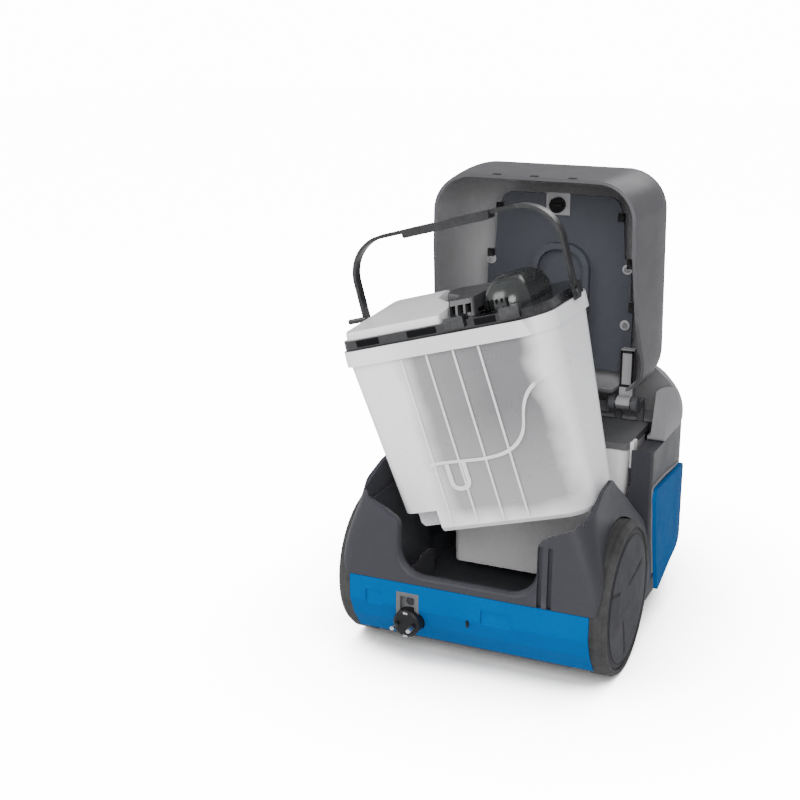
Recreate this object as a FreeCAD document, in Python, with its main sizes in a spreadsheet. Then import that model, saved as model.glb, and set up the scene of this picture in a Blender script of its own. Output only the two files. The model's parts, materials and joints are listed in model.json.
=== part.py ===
import FreeCAD, Part
import math
import os
import re
import Sketcher

# Wash-and-vacuum cleaner on wheels with a lift-out waste-water tank, in millimetres.
# The frame's origin is on the floor under the rear wheel axle, on the machine's centre plane.
# +X is to the right as seen from behind, +Y is forward and +Z is up.

DIMENSIONS = {
    # running gear
    "wheel_radius": 85, "tyre_width": 30, "track_half": 155, "rim_radius": 77, "axle_radius": 5,
    "caster_radius": 22, "caster_width": 26, "caster_y": 322, "caster_trail": 18, "running_gap": 0.05,
    # chassis and casing
    "body_half": 150, "crest_half": 129, "rear_face": 88, "front_face": 396, "skirt_low": 97,
    "crest_high": 212, "casing_low": 60, "wall_top": 220, "pan_low": 20, "pan_half": 118, "pan_rear": 57.5, "plate": 3,
    "bay_half": 125, "bay_low_half": 122, "bay_rear": 75, "bay_front": 206, "wheel_gap": 2,
    "cut_half": 78, "cut_low": 107, "cut_radius": 30, "bumper_half": 129, "bumper_low": 24, "bumper_wall": 2.5,
    "panel_high": 176, "hood_low": 221, "hood_high": 296,
    # lid, in its closed place
    "hinge_y": 175, "hinge_z": 250, "hinge_radius": 4, "lid_half": 130, "lid_rear": 97,
    "lid_front": 158, "lid_high": 306, "lid_wall": 3.5, "liner_high": 268, "liner_thick": 4, "knob_radius": 9,
    # waste-water tank, in its seat
    "tank_low": 26, "tank_half": 117, "tank_foot_half": 106, "tank_rear": 72, "tank_foot_rear": 45,
    "tank_front": 86, "tank_foot_front": 60, "tank_high": 219, "tank_wall": 3, "frame_high": 230,
    "bail_half": 124, "bail_pivot": 225, "bail_high": 328, "bail_strip": 4, "bail_width": 12,
    "bail_y": 15, "bail_radius": 46, "pin_radius": 4, "dome_x": 62,
    # fresh-water tank
    "fresh_left": 98, "fresh_right": 118, "fresh_rear": 104, "fresh_front": 192, "fresh_low": 45,
    "fresh_high": 216, "fresh_wall": 2.5,
    # drive parts
    "motor_radius": 48, "motor_y": 280, "motor_x": 62, "motor_low": 66, "reel_radius": 50,
    "reel_x": 68, "reel_y": 282, "reel_low": 72, "socket_radius": 19, "socket_wall": 4, "socket_y": 318,
    "button_radius": 13, "button_x": 62, "button_y": 268, "plug_x": 66, "plug_z": 52, "plug_radius": 15.5,
}

doc = FreeCAD.newDocument("wash_vacuum")
sheet = doc.addObject("Spreadsheet::Sheet", "Dims")
for row, (alias, value) in enumerate(DIMENSIONS.items(), 1):
    sheet.set(f"A{row}", str(value))
    sheet.setAlias(f"A{row}", alias)
doc.recompute()

WORD = re.compile(r"[a-z][a-z_]+")
parts = {}


def bound(expression):
    """An expression in which each spreadsheet alias has its sheet's name."""
    return WORD.sub(lambda m: "Dims." + m[0] if m[0] in DIMENSIONS else m[0], str(expression))


def size(expression):
    """The present value of an expression of spreadsheet cells."""
    return float(sheet.evalExpression(bound(expression)))


def keep(node, thing):
    """Lists an object as a finished sub-part, under the name that its file gets."""
    thing.Label = node
    parts[node] = thing
    return thing


def place(thing, at=(0, 0, 0), axis=None, angle=0):
    """Puts an object at a point given by expressions, turned about an axis."""
    if axis:
        turn = FreeCAD.Rotation(FreeCAD.Vector(*axis), angle)
        thing.Placement = FreeCAD.Placement(FreeCAD.Vector(), turn)
    for letter, expression in zip("xyz", at):
        thing.setExpression(".Placement.Base." + letter, bound(expression))
    return thing


def moved(thing, motion):
    """Carries a finished object from the place where its sizes put it to the place where it rests."""
    doc.recompute()
    start = thing.Placement
    for letter in "xyz":
        thing.setExpression(".Placement.Base." + letter, None)
    thing.Placement = motion * start
    return thing


def primitive(kind, name, at, axis=None, angle=0, **sizes):
    thing = doc.addObject("Part::" + kind, name)
    for key, expression in sizes.items():
        thing.setExpression(key, bound(expression))
    return place(thing, at, axis, angle)


def box(name, low, spans):
    """A box from its low corner and its three sizes."""
    return primitive("Box", name, low, Length=spans[0], Width=spans[1], Height=spans[2])


TURNS = {"x": ((0, 1, 0), 90), "y": ((1, 0, 0), -90), "z": (None, 0)}


def rod(name, start, along, radius, length):
    """A cylinder from a start point along +X, +Y or +Z."""
    return primitive("Cylinder", name, start, *TURNS[along], Radius=radius, Height=length)


def tube(name, start, along, radius, inner, length):
    """A round tube: a cylinder less a coaxial one."""
    return cut(name, rod(name + "_outside", start, along, radius, length),
               rod(name + "_inside", start, along, inner, length))


def ball(name, at, radius):
    return primitive("Sphere", name, at, Radius=radius)


def fuse(name, things):
    thing = doc.addObject("Part::MultiFuse", name)
    thing.Shapes = things
    thing.Refine = True
    return thing


def group(name, things):
    """Several separate solids of one kind, kept as one sub-part."""
    thing = doc.addObject("Part::Compound", name)
    thing.Links = things
    return thing


def cut(name, base, tools):
    thing = doc.addObject("Part::Cut", name)
    thing.Base = base
    thing.Tool = fuse(name + "_tools", tools) if isinstance(tools, list) else tools
    return thing


def rounded(name, base, radius, pick):
    """A Part fillet on each edge of the base that pick(edge) accepts."""
    doc.recompute()
    thing = doc.addObject("Part::Fillet", name)
    thing.Base = base
    thing.Edges = [(i, radius, radius) for i, edge in enumerate(base.Shape.Edges, 1) if pick(edge)]
    return thing


def solid(name, shape):
    """A Part::Feature, for a lofted form that no primitive or sketch feature gives."""
    thing = doc.addObject("Part::Feature", name)
    thing.Shape = shape
    return thing


def is_vertical(edge):
    span = edge.BoundBox
    return span.ZLength > 1 and span.XLength < 0.01 and span.YLength < 0.01


def lies_at(axis, level):
    """A test for edges that lie in the plane axis = level."""
    def test(edge):
        span = edge.BoundBox
        return max(abs(getattr(span, axis + end) - level) for end in ("Min", "Max")) < 0.05
    return test


def sketched_body(name, plane, points):
    """A PartDesign body and its first sketch: a closed outline whose corners are bound to the sheet."""
    body = doc.addObject("PartDesign::Body", name)
    origin = [o for o in body.Origin.OriginFeatures if o.Role == plane + "_Plane"][0]
    sketch = body.newObject("Sketcher::SketchObject", name + "_sketch")
    sketch.AttachmentSupport = [(origin, "")]
    sketch.MapMode = "FlatFace"
    corners = [FreeCAD.Vector(size(x), size(y), 0) for x, y in points]
    count = len(points)
    for i in range(count):
        sketch.addGeometry(Part.LineSegment(corners[i], corners[(i + 1) % count]))
    for i in range(count):
        sketch.addConstraint(Sketcher.Constraint("Coincident", i, 2, (i + 1) % count, 1))
    for i, point in enumerate(points):
        for word, expression, value, axis in zip(("DistanceX", "DistanceY"), point, corners[i], (-2, -1)):
            if abs(value) < 1e-9:
                sketch.addConstraint(Sketcher.Constraint("PointOnObject", i, 1, axis))
            else:
                index = sketch.addConstraint(Sketcher.Constraint(word, -1, 1, i, 1, value))
                sketch.setExpression(f"Constraints[{index}]", bound(expression))
    return body, sketch


def turned(name, points):
    """A body revolved about its own Y axis from a half outline of (radius, along) points."""
    body, sketch = sketched_body(name, "XY", points)
    turn = body.newObject("PartDesign::Revolution", name + "_turn")
    turn.Profile = sketch
    turn.ReferenceAxis = (sketch, ["V_Axis"])
    turn.Angle = 360
    return body


def outline(points, height=0):
    """A closed wire in a level plane, from (x, y, corner radius) points."""
    edges, bends = [], []
    for i, (x, y, radius) in enumerate(points):
        here = FreeCAD.Vector(x, y, height)
        before = (FreeCAD.Vector(*points[i - 1][:2], height) - here).normalize()
        after = (FreeCAD.Vector(*points[(i + 1) % len(points)][:2], height) - here).normalize()
        half = before.getAngle(after) / 2
        reach = radius / math.tan(half)
        middle = (before + after).normalize() * (radius / math.sin(half) - radius)
        bends.append((here + before * reach, here + middle, here + after * reach))
    for i, (start, middle, end) in enumerate(bends):
        if points[i][2]:
            edges.append(Part.Arc(start, middle, end).toShape())
        edges.append(Part.LineSegment(end, bends[(i + 1) % len(bends)][0]).toShape())
    return Part.Wire(edges)


def level_loft(sections, ruled=False):
    """A solid through level outlines, each given as (points, height)."""
    return Part.makeLoft([outline(points, height) for points, height in sections], True, ruled)


def slab(points, low, high):
    """A solid from one level outline between two heights."""
    return Part.Face(outline(points, low)).extrude(FreeCAD.Vector(0, 0, high - low))


def upright_slab(points, low, high):
    """A solid from an outline of (x, z, corner radius) points between two Y values."""
    shape = slab(points, -high, -low)
    shape.rotate(FreeCAD.Vector(), FreeCAD.Vector(1, 0, 0), 90)
    return shape


def curved_strip(points, width, depth):
    """A solid strip along a smooth curve through points, with the width and depth given as vectors."""
    curve = Part.BSplineCurve()
    curve.interpolate([FreeCAD.Vector(*point) for point in points])
    near = curve.toShape()
    far = near.translated(FreeCAD.Vector(*width))
    return Part.makeRuledSurface(near, far).extrude(FreeCAD.Vector(*depth))


def side_slab(points, half):
    """A solid from an outline of (y, z, corner radius) points, across the machine."""
    shape = slab(points, -half, half)
    turn = FreeCAD.Rotation(FreeCAD.Vector(0, 1, 0), FreeCAD.Vector(0, 0, 1), FreeCAD.Vector(1, 0, 0), "ZXY")
    shape.Placement = FreeCAD.Placement(FreeCAD.Vector(), turn)
    return shape


def ring(half, rear, front, radius, half_front=None):
    """The four corners of a level outline that may be narrower in front."""
    narrow = half if half_front is None else half_front
    return [(-half, rear, radius), (half, rear, radius), (narrow, front, radius), (-narrow, front, radius)]


def block(low, high):
    """A plain block between two corners, as a cutting tool."""
    spans = [b - a for a, b in zip(low, high)]
    return Part.makeBox(*spans, FreeCAD.Vector(*low))


# ---------------------------------------------------------------- running gear

OUT, IN = "track_half", "track_half - tyre_width"


def make_wheel(side, name):
    """One rear wheel: a tyre, a hub and a domed cap, turned about the axle."""
    bodies = {
        "tyre": [("rim_radius", IN), ("wheel_radius - 4", IN), ("wheel_radius", IN + " + 5"),
                 ("wheel_radius", OUT + " - 6"), ("wheel_radius - 3", OUT + " - 1"),
                 ("rim_radius + 1", OUT + " - 1"), ("rim_radius", OUT + " - 3")],
        "hub": [("axle_radius + running_gap", IN + " + 1"), ("14", IN + " + 1"), ("16", OUT + " - 18"),
                ("rim_radius - 8", OUT + " - 18"), ("rim_radius - 8", IN + " + 1"), ("rim_radius", IN + " + 1"),
                ("rim_radius", OUT + " - 9"), ("axle_radius + running_gap", OUT + " - 9")],
        "cap": [("0", OUT + " - 3"), ("24", OUT + " - 3"), ("24", OUT + " - 9"), ("rim_radius", OUT + " - 9"),
                ("rim_radius", OUT + " - 3"), ("rim_radius - 6", OUT + " - 0.5"), ("40", OUT + " + 1.5"),
                ("0", OUT + " + 2")],
    }
    for piece, points in bodies.items():
        body = turned(f"{name}_{piece}", points)
        keep(f"{name}_{piece}", place(body, ("0", "0", "wheel_radius"), (0, 0, 1), -90 * side))
    head_x = "bay_low_half - 4.5" if side > 0 else "-bay_low_half + 0.5"
    shank_x = "bay_low_half - 4" if side > 0 else "-track_half + 10"
    head = rod(name + "_axle_head", (head_x, "0", "wheel_radius"), "x", "9", "4")
    shank = rod(name + "_axle_shank", (shank_x, "0", "wheel_radius"), "x", "axle_radius",
                "track_half - bay_low_half - 6")
    keep(name + "_axle", fuse(name + "_axle", [head, shank]))


make_wheel(1, "right_wheel")
make_wheel(-1, "left_wheel")

AXLE_Y = "caster_y - caster_trail"
FORK_LOW = "2 * caster_radius + 2"


def make_caster():
    """The steering caster: a stem and fork that swivel, and a wheel that rolls on its axle."""
    plate = rod("fork_plate", ("0", "caster_y", FORK_LOW), "z", "15", "4")
    stem = rod("fork_stem", ("0", "caster_y", FORK_LOW), "z", "6", "22")
    bridge = box("fork_bridge", ("-caster_width / 2 - 4", AXLE_Y + " - 8", FORK_LOW),
                 ("caster_width + 8", "caster_trail + 8", "4"))
    cheeks = [box(f"fork_cheek_{i}", (x, AXLE_Y + " - 8", "caster_radius - 8"), ("3", "16", "caster_radius + 12"))
              for i, x in enumerate(("-caster_width / 2 - 4", "caster_width / 2 + 1"))]
    bore = rod("fork_bore", ("-caster_width", AXLE_Y, "caster_radius"), "x", "3", "2 * caster_width")
    keep("caster_fork", cut("caster_fork", fuse("fork_solid", [stem, plate, bridge] + cheeks), bore))
    keep("caster_axle", rod("caster_axle", ("-caster_width / 2 - 5", AXLE_Y, "caster_radius"), "x", "3",
                            "caster_width + 10"))
    wheel = turned("caster_wheel", [
        ("3 + running_gap", "-caster_width / 2"), ("9", "-caster_width / 2"), ("9", "-caster_width / 2 + 3"),
        ("caster_radius - 3", "-caster_width / 2 + 2"), ("caster_radius", "-caster_width / 2 + 5"),
        ("caster_radius", "caster_width / 2 - 5"), ("caster_radius - 3", "caster_width / 2 - 2"),
        ("9", "caster_width / 2 - 3"), ("9", "caster_width / 2"), ("3 + running_gap", "caster_width / 2")])
    keep("caster_wheel", place(wheel, ("0", AXLE_Y, "caster_radius"), (0, 0, 1), -90))


make_caster()

# ---------------------------------------------------------------- chassis and casing


def plan(half, rear, grow=0.0, radius=4):
    """The casing's level outline: square at the rear and round at the nose."""
    front = size("front_face") - grow
    nose = [(half, front * 0.64, half * 1.6), (half * 0.62, front * 0.94, half * 0.8), (half * 0.22, front, half * 0.4)]
    mirror = [(-x, y, bend) for x, y, bend in nose[::-1]]
    return [(-half, rear, radius), (half, rear, radius)] + nose + mirror


def make_base_pan():
    """The floor tray: narrow between the wheels and wide in front of them, with the caster's drum."""
    low, high, wall = size("pan_low"), size("casing_low") - 0.5, size("plate")
    narrow, wide = size("pan_half"), size("body_half") - 12
    rear = -size("pan_rear")
    tray = slab(ring(narrow, rear, 110, 10), low, high).fuse(slab(plan(wide, 94, 14, 8), low, high))
    hollow = slab(ring(narrow - wall, rear + wall, 110, 7), low + wall, high + 1)
    hollow = hollow.fuse(slab(plan(wide - wall, 94 + wall, 14 + wall, 6), low + wall, high + 1))
    centre = FreeCAD.Vector(0, size("caster_y"), low)
    drum = Part.makeCylinder(50, high - low, centre)
    space = Part.makeCylinder(47, size(FORK_LOW) + 5 - low + 1, centre - FreeCAD.Vector(0, 0, 1))
    stem = Part.makeCylinder(6 + size("running_gap"), 60, centre)
    return tray.cut(hollow).fuse(drum).cut(space.fuse(stem)).removeSplitter()


keep("base_pan", solid("base_pan", make_base_pan()))


def make_casing():
    """The dark casing: rear wall with its low cut, two shoulders, the tank bay and the machine room."""
    half, crest, low = size("body_half"), size("crest_half"), size("casing_low")
    face = size("rear_face")
    levels = ((low, half - 3, 0, 12), (size("skirt_low"), half, 0, 13), (112, half, 0, 14), (150, half - 7, 1, 20),
              (188, crest + 4, 3, 30), (size("crest_high") + 6, crest - 1, 5, 36))
    rear = level_loft([(ring(w, -face + back, 104, radius), z) for z, w, back, radius in levels])
    profile = [(-100, low, 0), (110, low, 0), (110, 132, 0), (97, 134, 4), (46, 184, 12), (8, 215, 12),
               (-24, 211, 30), (-100, 184, 0)]
    front = slab(plan(half, 96, 0, 3), low, size("wall_top"))
    shell = rear.common(side_slab(profile, 200)).fuse(front)
    bay, bay_low, bay_rear, bay_front = (size(k) for k in ("bay_half", "bay_low_half", "bay_rear", "bay_front"))
    space = block((-bay_low, -bay_rear, low - 1), (bay_low, bay_front, 400))
    space = space.fuse(block((-bay, -bay_rear, 177), (bay, bay_front, 400)))
    space = space.fuse(block((-bay - 5, 99, low - 1), (bay + 5, bay_front, 400)))
    wall = size("plate")
    room = slab(plan(half - wall, 96, wall, 3), low - 1, size("wall_top") + 1)
    room = room.cut(block((-400, 0, 0), (400, bay_front + wall, 400)))
    ledge = block((-bay_low - 1, -bay_rear - 1, low), (bay_low + 1, -size("pan_rear") + 3, low + wall))
    shell = shell.cut(space.fuse(room)).cut(make_mouth()).fuse(ledge)
    return shell.removeSplitter()


def make_mouth():
    """The cutting block of the rear wall's low cut, flared at both faces so that its lip is round."""
    edge, low, radius = size("cut_half"), size("cut_low"), size("cut_radius")
    rear, front = -size("rear_face"), -size("bay_rear")
    wires = []
    for y, flare in ((rear - 14, 6), (rear + 0.5, 4), (rear + 2, 1.8), (rear + 5, 0), (front - 4, 0),
                     (front - 1, 1.8), (front + 0.4, 4), (front + 14, 6)):
        points = [(-119 - flare, 188, 6), (-94 - flare / 2, 177 - flare, 12), (-edge - flare, 167 - flare, 12),
                  (-edge - flare, low - flare, radius), (edge + flare, low - flare, radius),
                  (edge + flare, 167 - flare, 12), (94 + flare / 2, 177 - flare, 12), (119 + flare, 188, 6),
                  (119 + flare, 260, 2), (-119 - flare, 260, 2)]
        wire = outline(points, -y)
        wire.rotate(FreeCAD.Vector(), FreeCAD.Vector(1, 0, 0), 90)
        wires.append(wire)
    return Part.makeLoft(wires, True, True)


casing = solid("casing_shell", make_casing())
wells = [rod(f"well_{i}", (x, "0", "wheel_radius"), "x", "wheel_radius + wheel_gap", "60")
         for i, x in enumerate(("bay_low_half + 2", "-bay_low_half - 62"))]
slots = [box(f"parking_slot_{i}", (x, "-rear_face - 2", "95"), ("5", "7", "70")) for i, x in enumerate(("80", "91"))]
axle_bore = rod("axle_bore", ("-160", "0", "wheel_radius"), "x", "axle_radius", "320")
step = box("bumper_step", ("-170", "-rear_face - 10", "casing_low - 5"), ("340", "17", "skirt_low - casing_low + 5"))
corners = [box(f"bumper_corner_{i}", (x, "-rear_face - 10", "casing_low - 5"), ("60", "26", "skirt_low - casing_low + 5"))
           for i, x in enumerate(("pan_half", "-pan_half - 60"))]
casing = cut("casing_well_cut", casing, wells + [axle_bore])
casing = cut("casing_step_cut", casing, [step] + corners)
plug_space = rod("plug_space", ("-plug_x", "-rear_face - 20", "plug_z"), "y", "plug_radius + 0.8", "33.5")
keep("housing", cut("housing", casing, slots + [plug_space]))


def make_band(half_gap):
    """The blue impact strip: a thin upright band round the casing's outline."""
    half = size("body_half") + half_gap
    outer = plan(half + 4.5, 91, -half_gap - 4.5, 5)
    inner = plan(half, 80, -half_gap, 2)
    band = slab(outer, 34, size("panel_high")).cut(slab(inner, 33, 400))
    profile = [(129, 42, 3), (190, 60, 30), (260, 72, 30), (420, 72, 2), (420, 104, 2), (330, 112, 60),
               (232, size("panel_high") - 8, 40), (96, size("panel_high"), 10), (108, 112, 8)]
    return band.common(side_slab(profile, 200))


BAND_SPLIT = 236


def make_side_panel(side):
    low, high = (0, 300) if side > 0 else (-300, 0)
    return make_band(0.4).common(block((low, 0, 0), (high, BAND_SPLIT, 400)))


keep("side_panel_right", solid("side_panel_right", make_side_panel(1)))
keep("side_panel_left", solid("side_panel_left", make_side_panel(-1)))
keep("bumper_front", solid("bumper_front", make_band(0.4).common(block((-300, BAND_SPLIT + 0.5, 0), (300, 500, 400)))))


def plug_nest(gap):
    """The round space that the plug's body takes up."""
    start = FreeCAD.Vector(-size("plug_x"), -size("rear_face") - 20, size("plug_z"))
    return Part.makeCylinder(size("plug_radius") + gap, 40, start, FreeCAD.Vector(0, 1, 0))


def make_bumper_rear():
    """The blue rear bumper: upright above, tucked under below, with shallow recesses and a cord gap."""
    half, low, high = size("bumper_half") + 8, size("bumper_low"), size("skirt_low") - 0.5
    face, wall = size("rear_face") + 0.5, size("bumper_wall")
    line = [(-face, high, 0), (-face, low + 44, 14), (-face + 10, low + 22, 18), (-face + 26, low, 0)]
    back = [(y + wall, z, radius) for y, z, radius in line]
    bend = side_slab(line + [(y, z, 0) for y, z, _ in back[::-1]], half)
    recesses = [block((x, -face - 9, 34), (x + width, -face + 1.6, 82)) for x, width in ((-118, 20), (18, 34))]
    gap = block((-size("plug_x") - 15, -face - 9, 47), (-size("plug_x") + 12, -40, 86))
    wheels = [Part.makeCylinder(size("wheel_radius") + 1.2, 40, FreeCAD.Vector(x, 0, size("wheel_radius")),
                                FreeCAD.Vector(1, 0, 0)) for x in (123.5, -163.5)]
    return bend.cut(recesses[0].fuse([recesses[1], gap] + wheels)).cut(plug_nest(0.8)).removeSplitter()


keep("bumper_rear", solid("bumper_rear", make_bumper_rear()))


def make_hood():
    """The light hood: a sloping nose with two cheeks beside the lid's hinge."""
    half, low = size("body_half") + 1, size("hood_low")
    levels = [(low, half, 0, 20), (low + 14, half - 1, 3, 24), (low + 34, half - 8, 26, 30), (low + 52, half - 17, 66, 34),
              (size("hood_high"), half - 26, 112, 34)]

    def shape(inset):
        sections = []
        for i, (z, w, back, _) in enumerate(levels):
            z_in = z - 1 if inset and i == 0 else z - inset
            sections.append((plan(w - inset, 120, back + inset, 4), z_in))
        return level_loft(sections)
    profile = [(139, low - 1, 3), (420, low - 1, 0), (420, 400, 0), (180, 400, 0), (166, 293, 14)]
    channel = block((-134, 100, low + 4), (134, 240, 400))
    opening = block((-130.5, 100, low - 2), (130.5, size("bay_front"), 400))
    shell = shape(0).common(side_slab(profile, 200)).cut(channel.fuse(opening))
    hollow = shape(size("plate")).cut(block((-136, 0, low + 1), (136, 243, 400)))
    hollow = hollow.cut(block((-400, 0, 0), (400, size("bay_front") + 5, 400)))
    return shell.cut(hollow)


hood = solid("hood_shell", make_hood())
hood_holes = [rod("socket_hole", ("0", "socket_y", "hood_low - 10"), "z", "socket_radius + socket_wall", "80")]
hood_holes += [rod(f"button_hole_{i}", (x, "button_y", "hood_low + 10"), "z", "button_radius + 0.4", "90")
               for i, x in enumerate(("button_x", "-button_x"))]
keep("front_hood", cut("front_hood", hood, hood_holes))

def make_socket():
    """The hose socket: a short pipe through the hood with a collar."""
    pipe = tube("socket_pipe", ("0", "socket_y", "hood_low + 8"), "z", "socket_radius + socket_wall - 0.3",
                "socket_radius", "62")
    collar = tube("socket_collar", ("0", "socket_y", "hood_low + 72"), "z", "socket_radius + 9", "socket_radius", "6")
    keep("hose_socket", fuse("hose_socket", [pipe, collar]))


make_socket()

for side, name in ((1, "power_button"), (-1, "rewind_button")):
    x = f"{side} * button_x"
    stem = rod(name + "_stem", (x, "button_y", "hood_high - 34"), "z", "4", "24")
    head = rod(name + "_head", (x, "button_y", "hood_high - 20"), "z", "button_radius", "22")
    keep(name, rounded(name, fuse(name + "_solid", [stem, head]), 2.5, lies_at("Z", size("hood_high") + 2)))
    keep(name + "_spring", tube(name + "_spring", (x, "button_y", "hood_high - 40"), "z", "7", "5.5", "19.5"))
seats = [box(f"button_seat_{i}", (f"{x} - 14", "button_y - 14", "hood_high - 43"), ("28", "28", "3"))
         for i, x in enumerate(("button_x", "-button_x"))]
seat_bar = box("button_bar", ("-button_x - 14", "button_y - 14", "hood_high - 46"), ("2 * button_x + 28", "28", "3"))
seat_space = rod("seat_space", ("0", "socket_y", "hood_low"), "z", "socket_radius + 10", "60")
keep("button_board", cut("button_board", fuse("button_board_solid", seats + [seat_bar]), seat_space))

# ---------------------------------------------------------------- drive parts inside the machine room


def bent_pipe(points, bend, radius):
    """A solid pipe along straight runs joined by arcs of one bend radius."""
    edges, start = [], points[0]
    for before, corner, after in zip(points, points[1:], points[2:]):
        back, ahead = (before - corner).normalize(), (after - corner).normalize()
        half = back.getAngle(ahead) / 2
        reach = bend / math.tan(half)
        middle = corner + (back + ahead).normalize() * (bend / math.sin(half) - bend)
        edges.append(Part.LineSegment(start, corner + back * reach).toShape())
        edges.append(Part.Arc(corner + back * reach, middle, corner + ahead * reach).toShape())
        start = corner + ahead * reach
    edges.append(Part.LineSegment(start, points[-1]).toShape())
    section = Part.Wire([Part.makeCircle(radius, points[0], points[1] - points[0])])
    return Part.Wire(edges).makePipeShell([section], True, True)


def make_machine_room():
    """The motor with its fan, the cord reel, the pump and the exhaust filter."""
    motor_at = ("motor_x", "motor_y", "motor_low")
    keep("motor_mount", rod("motor_mount", ("motor_x", "motor_y", "casing_low - 0.5"), "z", "motor_radius - 2",
                            "motor_low - casing_low + 0.5"))
    can = rod("motor_can", motor_at, "z", "motor_radius - 6", "62")
    flange = rod("motor_flange", ("motor_x", "motor_y", "motor_low + 62"), "z", "motor_radius", "4")
    shaft = rod("motor_shaft", ("motor_x", "motor_y", "motor_low + 66"), "z", "4", "26")
    keep("motor", fuse("motor", [can, flange, shaft]))
    drum = rod("fan_drum", ("motor_x", "motor_y", "motor_low + 66.2"), "z", "motor_radius", "30")
    space = rod("fan_space", ("motor_x", "motor_y", "motor_low + 66"), "z", "motor_radius - 3", "27.2")
    eye = rod("fan_eye", ("motor_x", "motor_y", "motor_low + 60"), "z", "14", "50")
    keep("fan_housing", cut("fan_housing", drum, [space, eye]))
    disc = rod("fan_disc", ("motor_x", "motor_y", "motor_low + 69"), "z", "motor_radius - 5", "2.5")
    hub = rod("fan_hub", ("motor_x", "motor_y", "motor_low + 69"), "z", "9", "20")
    vanes = []
    for i in range(8):
        vane = doc.addObject("Part::Box", f"fan_vane_{i}")
        vane.setExpression("Length", bound("motor_radius - 13"))
        vane.Width, vane.Height = 1.5, 14
        centre = FreeCAD.Vector(size("motor_x"), size("motor_y"), size("motor_low") + 70)
        turn = FreeCAD.Placement(centre, FreeCAD.Rotation(FreeCAD.Vector(0, 0, 1), 45 * i))
        vane.Placement = turn * FreeCAD.Placement(FreeCAD.Vector(7, 0, 0), FreeCAD.Rotation(FreeCAD.Vector(0, 0, 1), 18))
        vanes.append(vane)
    bore = rod("fan_bore", ("motor_x", "motor_y", "motor_low + 60"), "z", "4 + running_gap", "50")
    keep("impeller", cut("impeller", fuse("impeller_solid", [disc, hub] + vanes), bore))

    reel = ("-reel_x", "reel_y", "reel_low")
    post = rod("reel_post", ("-reel_x", "reel_y", "pan_low + plate"), "z", "6", "reel_low + 30")
    foot = rod("reel_foot", ("-reel_x", "reel_y", "pan_low + plate"), "z", "12", "reel_low - pan_low - plate - 0.1")
    keep("reel_axle", fuse("reel_axle", [post, foot]))
    low = rod("reel_flange_low", reel, "z", "reel_radius", "2.5")
    high = rod("reel_flange_high", ("-reel_x", "reel_y", "reel_low + 37.5"), "z", "reel_radius", "2.5")
    core = rod("reel_core", reel, "z", "20", "40")
    reel_bore = rod("reel_bore", ("-reel_x", "reel_y", "0"), "z", "6 + running_gap", "200")
    keep("cord_reel", cut("cord_reel", fuse("cord_reel_solid", [low, high, core]), reel_bore))
    keep("wound_cord", tube("wound_cord", ("-reel_x", "reel_y", "reel_low + 2.5"), "z", "reel_radius - 6", "20", "35"))

    pump = rod("pump_body", ("-20", "236", "pan_low + 14"), "x", "11", "42")
    pump_foot = box("pump_foot", ("-16", "228", "pan_low + plate"), ("34", "16", "8"))
    keep("pump", fuse("pump", [pump, pump_foot]))
    route = [FreeCAD.Vector(*p) for p in ((22.1, 236, 34), (34, 236, 34), (34, 236, 84), (34, 209.1, 84))]
    keep("pump_hose", solid("pump_hose", bent_pipe(route, 9, 4)))
    grid = box("exhaust_grid", ("-28", "bay_front + plate", "hood_low - 100"), ("56", "8", "44"))
    keep("exhaust_filter", grid)


make_machine_room()

# ---------------------------------------------------------------- hinge and lid

LID_OPEN = FreeCAD.Placement(FreeCAD.Vector(), FreeCAD.Rotation(FreeCAD.Vector(1, 0, 0), -90),
                             FreeCAD.Vector(0, size("hinge_y"), size("hinge_z")))


def opened(node, thing):
    """Keeps a piece of the lid, built closed, in the lid's open place."""
    return keep(node, moved(thing, LID_OPEN))


def make_lid_shell():
    """The lid: a crowned shell with bulged sides, cut off along a rim that rises towards the hinge."""
    half, rear, front = size("lid_half"), size("lid_rear"), size("lid_front")
    high = size("lid_high")
    levels = ((150, half - 12, 6, 42), (200, half - 4, 2, 44), (245, half, 0, 46), (274, half - 1.5, 1, 46),
              (291, half - 7, 6, 42), (301, half - 16, 15, 36), (high, half - 32, 32, 28))

    def shape(inset):
        sections = []
        for z, w, back, radius in levels:
            top = z - (inset if z > 260 else 0)
            corners = ring(w - inset - 5, -rear + back + inset, front - back - inset, radius - inset, w - inset)
            sections.append((corners, top))
        return level_loft(sections)
    rim = [(-140, 100, 0), (210, 100, 0), (210, 232, 0), (148, 224, 8), (128, 210, 40), (60, 182, 60), (-15, 170, 90),
           (-140, 168, 0)]
    below = side_slab(rim, 200)
    slots = [block((x - 0.1, 140, 200), (x + 16.1, 175, size("liner_high") - 0.4)) for x in (84, -100)]
    return shape(0).cut(shape(size("lid_wall"))).cut(below).cut(slots[0].fuse(slots[1]))


def make_liner():
    """The lid's flat inner panel, narrower and arched towards the rear, with stepped sides."""
    steps = [(92, 143, 8), (92, 58, 3), (89, 56, 3), (88, 12, 4), (80, 8, 4), (77, -42, 4), (68, -62, 14)]
    mirror = [(-x, y, radius) for x, y, radius in steps[::-1]]
    high = size("liner_high")
    panel = slab(steps + mirror, high, high + size("liner_thick"))
    arch = slab([(40, 120, 6), (40, -6, 30), (-30, -6, 30), (-30, 120, 6)], high - 9, high)
    arch_space = slab([(33, 126, 2), (33, 1, 24), (-23, 1, 24), (-23, 126, 2)], high - 10, high)
    ribs = [block((x, -30, high + size("liner_thick")), (x + 3, 130, size("lid_high") - 12)) for x in (-52, 49)]
    return panel.fuse([arch.cut(arch_space)] + ribs)


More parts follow.
